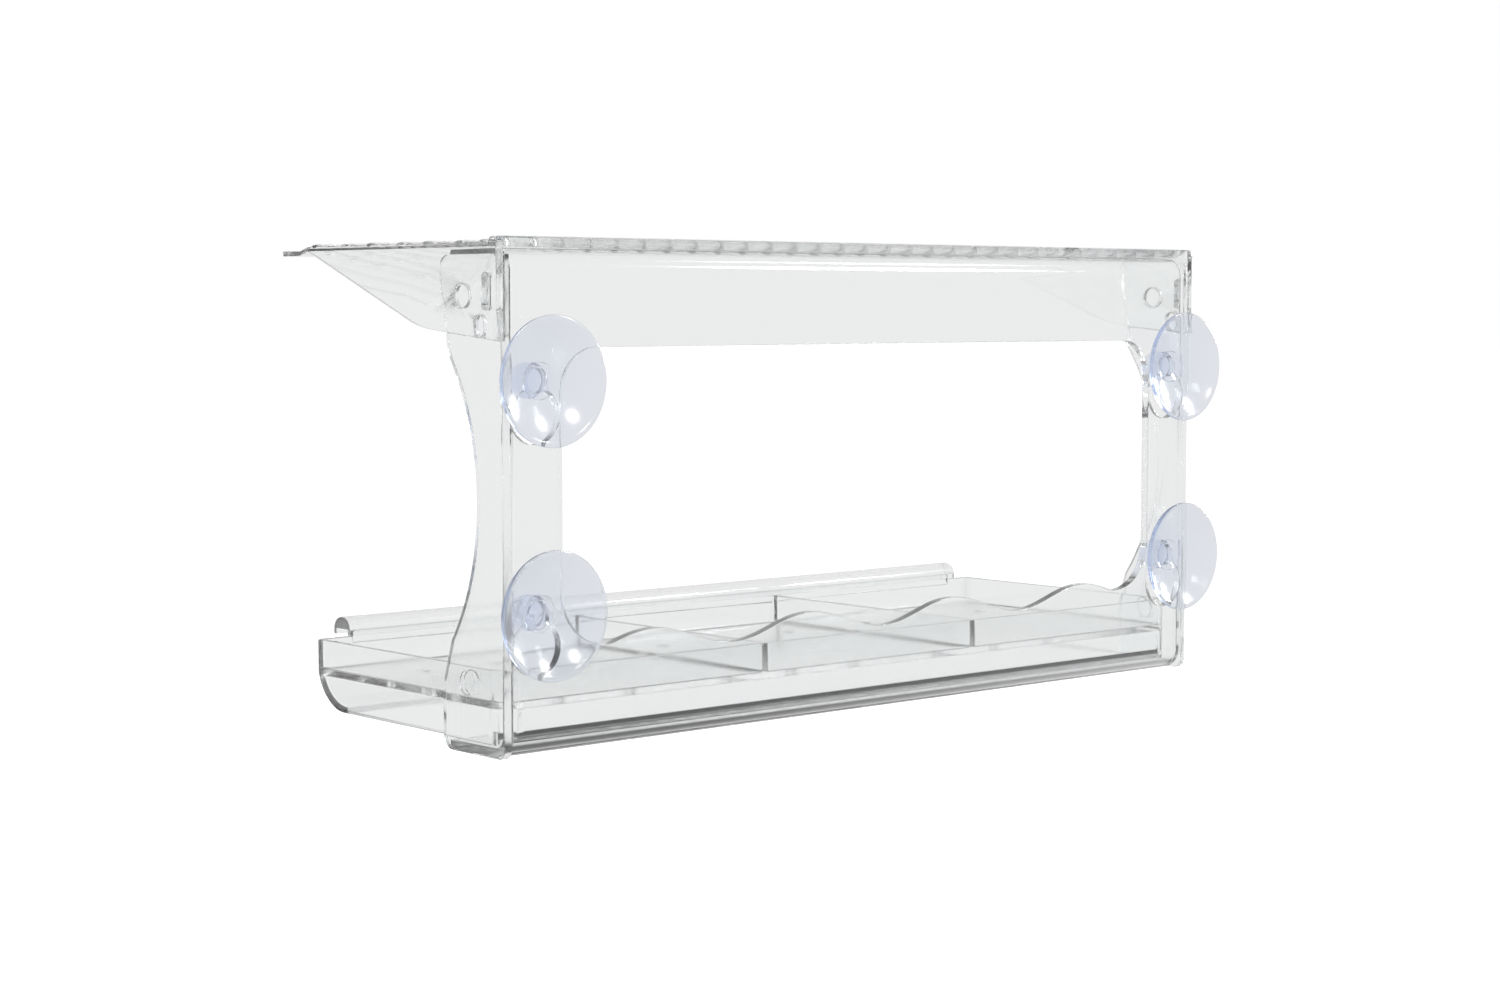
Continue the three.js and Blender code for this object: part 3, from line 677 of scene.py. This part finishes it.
def under_tray(inner, corner):
    """The space inside the skirt, up to the raised floor. It curves in at the front and the rear."""
    low = TRAY_LOW + TRAY_WALL
    high = TRAY_FLOOR_TOP - TRAY_FLOOR
    space = trough("underside cutter", -inner, inner, TRAY_WALL, low, TRAY_RIM, (0, 0, corner, corner),
                   (0, 0, TRAY_FRONT_RADIUS - TRAY_WALL, TRAY_REAR_RADIUS - TRAY_WALL))
    bpy.context.view_layer.objects.active = space
    bpy.ops.object.mode_set(mode="EDIT")
    bpy.ops.mesh.select_all(action="SELECT")
    bpy.ops.mesh.bisect(plane_co=place(0, 0, high), plane_no=(0, 0, 1), clear_outer=True,
                        use_fill=True)
    bpy.ops.object.mode_set(mode="OBJECT")
    front = TRAY_FRONT - TRAY_FRONT_RADIUS
    rear = TRAY_REAR + TRAY_REAR_RADIUS
    opening = rounded_prism(
        "opening", lambda a, b: place(a, -b, TRAY_LOW - OVERRUN), (0, 0, TRAY_WALL + 2 * OVERRUN),
        [(-inner, front, 0), (inner, front, 0), (inner, rear, 0), (-inner, rear, 0)])
    combine(space, opening, "UNION")
    return space


def make_tray():
    """The tray's block, less the space below, the compartments and the drains, with its tongue."""
    piece = trough("seed_tray_clear", -TRAY_HALF, TRAY_HALF, 0, TRAY_LOW, TRAY_RIM,
                   (TRAY_FRONT_CORNER, TRAY_FRONT_CORNER, TRAY_CORNER, TRAY_CORNER),
                   (TRAY_EDGE, TRAY_EDGE, TRAY_FRONT_RADIUS, TRAY_REAR_RADIUS))
    inner = TRAY_HALF - TRAY_WALL
    near = DIVIDER - DIVIDER_THICKNESS / 2
    far = DIVIDER + DIVIDER_THICKNESS / 2
    corner = TRAY_CORNER - TRAY_WALL
    edge = TRAY_EDGE
    hollows = [(-near, near, (edge, edge, edge, edge)), (far, inner, (edge, edge, corner, edge)),
               (-inner, -far, (edge, edge, edge, corner))]
    combine(piece, under_tray(inner, corner), "DIFFERENCE")
    for left, right, corners in hollows:
        hollow = trough("compartment cutter", left, right, TRAY_WALL, TRAY_FLOOR_TOP,
                        TRAY_RIM + OVERRUN, corners, (edge, edge, edge, edge))
        combine(piece, hollow, "DIFFERENCE")
        for i in (-1, 0, 1):
            middle = (left + right) / 2 + i * DRAIN_SPACING
            foot = place(middle, -DRAIN_DEPTH, TRAY_FLOOR_TOP - TRAY_FLOOR - OVERRUN)
            drain = disc("drain cutter", foot, (0, 0, 1), DRAIN_RADIUS, TRAY_FLOOR + 2 * OVERRUN,
                         DRAIN_STEPS)
            combine(piece, drain, "DIFFERENCE")
    tongue = rounded_prism(
        "tongue", lambda a, b: place(a, -TRAY_FRONT, b), (0, TRAY_WALL, 0),
        [(-TONGUE_HALF, TRAY_RIM - OVERRUN, 0), (TONGUE_HALF, TRAY_RIM - OVERRUN, 0),
         (TONGUE_HALF, TONGUE_TOP, TONGUE_CORNER), (-TONGUE_HALF, TONGUE_TOP, TONGUE_CORNER)])
    combine(piece, tongue, "UNION")
    soften(piece, TRAY_EDGE_BREAK)
    return piece


tray = make_tray()
tray_clear = clear_plastic("clear acrylic, deep moulded tray", TRAY_HAZE)
tray.data.materials.append(tray_clear)
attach(tray, "tray")
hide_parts("seed_tray")


# Perch rail
# A clear extruded bar with a rounded top and two short legs, cut to length, which sits
# astride the tongue on the tray's front rim.
PERCH_HALF = 136.0
PERCH_MIDDLE = 106.05
PERCH_HALF_WIDTH = 4.65
PERCH_LEG = 1.5
PERCH_LOW = 25.2
PERCH_SEAT = 27.0
PERCH_SHOULDER = 27.2
PERCH_TOP = 30.9
PERCH_STEPS = 32
PERCH_EDGE_BREAK = 0.25
PERCH_HAZE = 0.13


def make_perch():
    """The rail, drawn end on with the groove for the tongue, and run along."""
    inner = PERCH_HALF_WIDTH - PERCH_LEG
    outline = [(inner, PERCH_LOW), (inner, PERCH_SEAT), (-inner, PERCH_SEAT), (-inner, PERCH_LOW),
               (-PERCH_HALF_WIDTH, PERCH_LOW)]
    for i in range(PERCH_STEPS + 1):
        turn = math.pi * i / PERCH_STEPS
        outline.append((-PERCH_HALF_WIDTH * math.cos(turn),
                        PERCH_SHOULDER + (PERCH_TOP - PERCH_SHOULDER) * math.sin(turn)))
    outline.append((PERCH_HALF_WIDTH, PERCH_LOW))
    points = [place(-PERCH_HALF, -PERCH_MIDDLE - depth, height) for depth, height in outline]
    piece = draw("perch_rail_clear", points)
    thicken(2 * PERCH_HALF, 0, 0)
    soften(piece, PERCH_EDGE_BREAK)
    return piece


perch = make_perch()
perch_clear = clear_plastic("clear acrylic, extruded", PERCH_HAZE)
perch.data.materials.append(perch_clear)
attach(perch, "perch")
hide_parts("perch_rail")


# Suction cups
# Four soft cups of clear plasticised vinyl with a bluish cast, each moulded in one with a
# collar, a neck and a knob that hangs in its keyhole. The thin lip lies on the window glass.
CUP_RADIUS = 18.8
CUP_STANDOFF = 8.8
CUP_LIP = 0.6
CUP_LIP_WIDTH = 1.2
CUP_CROWN = 4.2
COLLAR_RADIUS = 5.5
COLLAR_LOW = 0.3
COLLAR_HIGH = 1.6
NECK_RADIUS = 3.6
KNOB_RADIUS = 5.2
KNOB_BACK = -3.3
KNOB_FRONT = -8.0
KNOB_ROUND = 1.6
KNOB_EDGE = 0.5             # smaller rounding at the knob's rear edge
NECK_FILLET = 0.3
LIP_ROUND = 0.15
LIP_BLEND = (0.2, 0.1)      # where the cup's back runs into its lip
KNOB_STEPS = 6
KNOB_EDGE_STEPS = 4
CUP_BACK_STEPS = 22
CUP_FACE_STEPS = 26
CUP_STEPS = 96
CUP_SHARP = 50              # degrees
WELD = 0.005                # points nearer than this are merged


def cup_profile():
    """Half of the cup's section, from the knob's end to the crown, as radii and places along Y."""
    lip_start = CUP_STANDOFF - CUP_LIP
    points = [(0, KNOB_FRONT), (KNOB_RADIUS - KNOB_ROUND, KNOB_FRONT)]
    points += curve(points[-1], (KNOB_RADIUS, KNOB_FRONT), (KNOB_RADIUS, KNOB_FRONT + KNOB_ROUND),
                    KNOB_STEPS)
    points += [(KNOB_RADIUS, KNOB_BACK - KNOB_EDGE)]
    points += curve(points[-1], (KNOB_RADIUS, KNOB_BACK), (KNOB_RADIUS - KNOB_EDGE, KNOB_BACK),
                    KNOB_EDGE_STEPS)
    points += [(NECK_RADIUS + NECK_FILLET, KNOB_BACK), (NECK_RADIUS, KNOB_BACK + NECK_FILLET),
               (NECK_RADIUS, COLLAR_LOW)]
    points += [(COLLAR_RADIUS - NECK_FILLET, COLLAR_LOW), (COLLAR_RADIUS, COLLAR_LOW + NECK_FILLET),
               (COLLAR_RADIUS, COLLAR_HIGH)]
    back = ((COLLAR_RADIUS + CUP_RADIUS) / 2, (COLLAR_HIGH + CUP_CROWN) / 2)
    points += curve(points[-1], back, (CUP_RADIUS - LIP_BLEND[0], lip_start - LIP_BLEND[1]),
                    CUP_BACK_STEPS)
    points += [(CUP_RADIUS, lip_start + LIP_ROUND), (CUP_RADIUS, CUP_STANDOFF - LIP_ROUND),
               (CUP_RADIUS - LIP_ROUND, CUP_STANDOFF), (CUP_RADIUS - CUP_LIP_WIDTH, CUP_STANDOFF)]
    points += curve(points[-1], (CUP_RADIUS / 2, CUP_CROWN), (0, CUP_CROWN), CUP_FACE_STEPS)
    return points


def make_cup():
    """One cup, its profile spun round an axis through the middle of the frame's lower edge."""
    points = [place(radius, y, 0) for radius, y in cup_profile()]
    piece = draw("suction_cup_clear", points)
    bpy.ops.mesh.delete(type="ONLY_FACE")
    middle = place(0, 0, 0).x
    select("edges", lambda edge: all(abs(vert.co.x - middle) < SAME_PLACE * MM for vert in edge.verts))
    bpy.ops.mesh.delete(type="EDGE")
    bpy.ops.mesh.select_all(action="SELECT")
    bpy.ops.mesh.spin(steps=CUP_STEPS, angle=2 * math.pi, center=place(0, 0, 0), axis=(0, 1, 0))
    bpy.ops.mesh.select_all(action="SELECT")
    bpy.ops.mesh.remove_doubles(threshold=WELD * MM)
    bpy.ops.mesh.normals_make_consistent(inside=False)
    bpy.ops.object.mode_set(mode="OBJECT")
    bpy.ops.object.shade_smooth_by_angle(angle=math.radians(CUP_SHARP))
    return piece


VINYL_IOR = 1.07            # far below the solid's: on the glass the cup hardly bends light
VINYL_SKIN = "F3F5FA"
VINYL_BODY = "A9C6F2"
VINYL_DENSITY = 24.0
VINYL_COAT = 0.5
VINYL_COAT_IOR = 1.5
VINYL_COAT_ROUGHNESS = 0.14
VINYL_GLOSS = (0.08, 0.14)
DRAG_SIZE = 6.0             # mm between the faint drag marks
DRAG_BUMP = (0.06, 0.1)     # strength, and depth in mm


def clear_vinyl():
    """Soft clear vinyl: its skin is glossy with a slight drag, and its blue deepens with thickness."""
    material = bpy.data.materials.new("clear plasticised vinyl, moulded")
    material.use_nodes = True
    tree = material.node_tree
    shader = tree.nodes["Principled BSDF"]
    shader.inputs["Base Color"].default_value = linear(VINYL_SKIN)
    shader.inputs["Transmission Weight"].default_value = 1
    shader.inputs["IOR"].default_value = VINYL_IOR
    shader.inputs["Coat Weight"].default_value = VINYL_COAT
    shader.inputs["Coat IOR"].default_value = VINYL_COAT_IOR
    shader.inputs["Coat Roughness"].default_value = VINYL_COAT_ROUGHNESS
    where = add_node(tree, "TexCoord")
    drag = add_node(tree, "TexNoise", {"Scale": 1 / (DRAG_SIZE * MM), "Detail": 2},
                    Vector=where.outputs["Object"])
    gloss = add_node(tree, "MapRange", {"To Min": VINYL_GLOSS[0], "To Max": VINYL_GLOSS[1]},
                     Value=drag.outputs[0])
    tree.links.new(gloss.outputs[0], shader.inputs["Roughness"])
    bump = add_node(tree, "Bump", {"Strength": DRAG_BUMP[0], "Distance": DRAG_BUMP[1] * MM},
                    Height=drag.outputs[0])
    tree.links.new(bump.outputs[0], shader.inputs["Normal"])
    body = add_node(tree, "VolumeAbsorption", {"Color": linear(VINYL_BODY), "Density": VINYL_DENSITY})
    tree.links.new(body.outputs[0], tree.nodes["Material Output"].inputs["Volume"])
    return material


cup_vinyl = clear_vinyl()
cup_model = make_cup()
for end, cup_x in (("left", CUP_PLACE), ("right", -CUP_PLACE)):
    for level, cup_z in zip(("lower", "upper"), CUP_HEIGHTS):
        bpy.ops.object.select_all(action="DESELECT")
        cup_model.select_set(True)
        bpy.context.view_layer.objects.active = cup_model
        bpy.ops.object.duplicate()
        cup = bpy.context.object
        cup.name = cup.data.name = f"suction_cup_{level}_{end}_clear"
        bpy.ops.transform.translate(value=(cup_x * MM, 0, cup_z * MM))
        bpy.ops.object.transform_apply(location=True, rotation=True, scale=True)
        cup.data.materials.append(cup_vinyl)
        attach(cup, "window_cups")
        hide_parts(f"suction_cup_{level}_{end}")
bpy.data.objects.remove(cup_model)


# Studio
# A plain white sweep well below the feeder, which hangs on a window, three soft round lamps, and
# the camera at the photograph's angle. The plastic shows pale walls all round, a little below white;
# it is dark only straight above, and straight below it shows painted shade on the floor.
FLOOR_HEIGHT = -0.33
FLOOR_SIZE = 40.0
SEEN_THROUGH = 0.84         # how bright the room looks through the plastic, where 1 is white
DARK_ABOVE = 0.6
STEEP = 0.5                 # sine of the height from which the room above begins to darken
ROOM_LIGHT = 0.55           # what the room gives to dull surfaces
# painted shade: in what the plastic shows, the floor glows this dimly right under the feeder
PAINTED_SHADE_BELOW = 0.15
PAINTED_SHADE_NEAR = 0.36            # m from the feeder, where the painted shade under it begins to fade
PAINTED_SHADE_FAR = 0.8
FLOOR_FILL = 0.65           # brings the lit paper up to white for the eye
PAPER = "E6E6E6"


def mix_value(tree, share, low, high):
    """A number that runs from low to high with a share, each of them a number or a socket."""
    mix = tree.nodes.new("ShaderNodeMix")
    for name, value in (("Factor", share), ("A", low), ("B", high)):
        if isinstance(value, (int, float)):
            mix.inputs[name].default_value = value
        else:
            tree.links.new(value, mix.inputs[name])
    return mix.outputs[0]


def make_world():
    """A white room, and for what the plastic shows of it a pale one that darkens overhead."""
    world = bpy.data.worlds.new("studio")
    world.use_nodes = True
    tree = world.node_tree
    path = add_node(tree, "LightPath")
    where = add_node(tree, "TexCoord")
    parts = add_node(tree, "SeparateXYZ", Vector=where.outputs["Generated"])
    above = add_node(tree, "MapRange", {"From Min": STEEP, "From Max": 1.0, "To Min": SEEN_THROUGH,
                                        "To Max": DARK_ABOVE}, Value=parts.outputs["Z"])
    level = mix_value(tree, path.outputs["Is Camera Ray"], above.outputs[0], 1.0)
    glossy = add_node(tree, "Math", {"operation": "MAXIMUM"}, _0=path.outputs["Is Camera Ray"],
                      _1=path.outputs["Is Glossy Ray"])
    shown = add_node(tree, "Math", {"operation": "MAXIMUM"}, _0=glossy.outputs[0],
                     _1=path.outputs["Is Transmission Ray"])
    strength = mix_value(tree, shown.outputs[0], ROOM_LIGHT, level)
    tree.links.new(strength, tree.nodes["Background"].inputs["Strength"])
    tree.nodes["Background"].inputs["Color"].default_value = linear("FFFFFF")
    bpy.context.scene.world = world


make_world()

bpy.ops.object.select_all(action="DESELECT")
bpy.ops.mesh.primitive_plane_add(size=FLOOR_SIZE, location=(0, 0, FLOOR_HEIGHT))
sweep = bpy.context.object
sweep.name = sweep.data.name = "floor"


def floor_paper():
    """Matt white paper, lit to white for the eye. What the plastic shows of it glows pale, with painted
    shade right under the feeder.
    """
    material = bpy.data.materials.new("matt white paper")
    material.use_nodes = True
    tree = material.node_tree
    tree.nodes.remove(tree.nodes["Principled BSDF"])
    path = add_node(tree, "LightPath")
    paper = add_node(tree, "BsdfDiffuse", {"Color": linear(PAPER)})
    where = add_node(tree, "NewGeometry")
    away = add_node(tree, "VectorMath", {"operation": "LENGTH"}, _0=where.outputs["Position"])
    # painted shade: what the plastic shows of the floor is a glow, dark near the feeder and pale further
    # off
    far = add_node(tree, "MapRange", {"From Min": PAINTED_SHADE_NEAR, "From Max": PAINTED_SHADE_FAR,
                                      "To Min": PAINTED_SHADE_BELOW, "To Max": SEEN_THROUGH},
                   Value=away.outputs["Value"])
    through = add_node(tree, "Math", {"operation": "MAXIMUM"}, _0=path.outputs["Is Glossy Ray"],
                       _1=path.outputs["Is Transmission Ray"])
    fill = mix_value(tree, path.outputs["Is Camera Ray"], 0.0, FLOOR_FILL)
    glow = add_node(tree, "Emission", None, Strength=fill)
    lit = add_node(tree, "AddShader", None, _0=paper.outputs[0], _1=glow.outputs[0])
    shown = add_node(tree, "Emission", None, Strength=far.outputs[0])
    both = add_node(tree, "MixShader", None, _0=through.outputs[0], _1=lit.outputs[0],
                    _2=shown.outputs[0])
    tree.links.new(both.outputs[0], tree.nodes["Material Output"].inputs["Surface"])
    return material


sweep.data.materials.append(floor_paper())

LAMPS = ((-0.97, 0.15, 0.19), (-0.68, 0.57, 0.46), (-0.15, 0.87, 0.47))    # directions from the feeder
LAMP_DISTANCE = 2.0
LAMP_SIZE = 0.36
LAMP_POWER = 16.0
for number, direction in enumerate(LAMPS):
    lamp_data = bpy.data.lights.new(f"softbox {number}", "AREA")
    lamp_data.shape = "DISK"
    lamp_data.size = LAMP_SIZE
    lamp_data.energy = LAMP_POWER
    lamp = bpy.data.objects.new(f"softbox {number}", lamp_data)
    lamp.location = Vector(direction).normalized() * LAMP_DISTANCE
    lamp.rotation_euler = (-lamp.location).to_track_quat("-Z", "Y").to_euler()
    bpy.context.scene.collection.objects.link(lamp)

CAMERA_PLACE = (0.5940, 0.6019, 0.0547)
CAMERA_TILT = 85.83         # degrees from straight down
CAMERA_TURN = 138.68
CAMERA_LENS = 64.08
SENSOR_WIDTH = 36
CLIP_START = 0.01
camera_data = bpy.data.cameras.new("camera")
camera_data.lens = CAMERA_LENS
camera_data.sensor_width = SENSOR_WIDTH
camera_data.clip_start = CLIP_START
camera = bpy.data.objects.new("camera", camera_data)
camera.location = CAMERA_PLACE
camera.rotation_euler = (math.radians(CAMERA_TILT), 0, math.radians(CAMERA_TURN))
bpy.context.scene.collection.objects.link(camera)
bpy.context.scene.camera = camera

# The light passes many thin walls one after another, so its paths are long.
LONG_PATH = 40
MIRROR_PATH = 16
bpy.context.scene.cycles.max_bounces = LONG_PATH
bpy.context.scene.cycles.transmission_bounces = LONG_PATH
bpy.context.scene.cycles.glossy_bounces = MIRROR_PATH
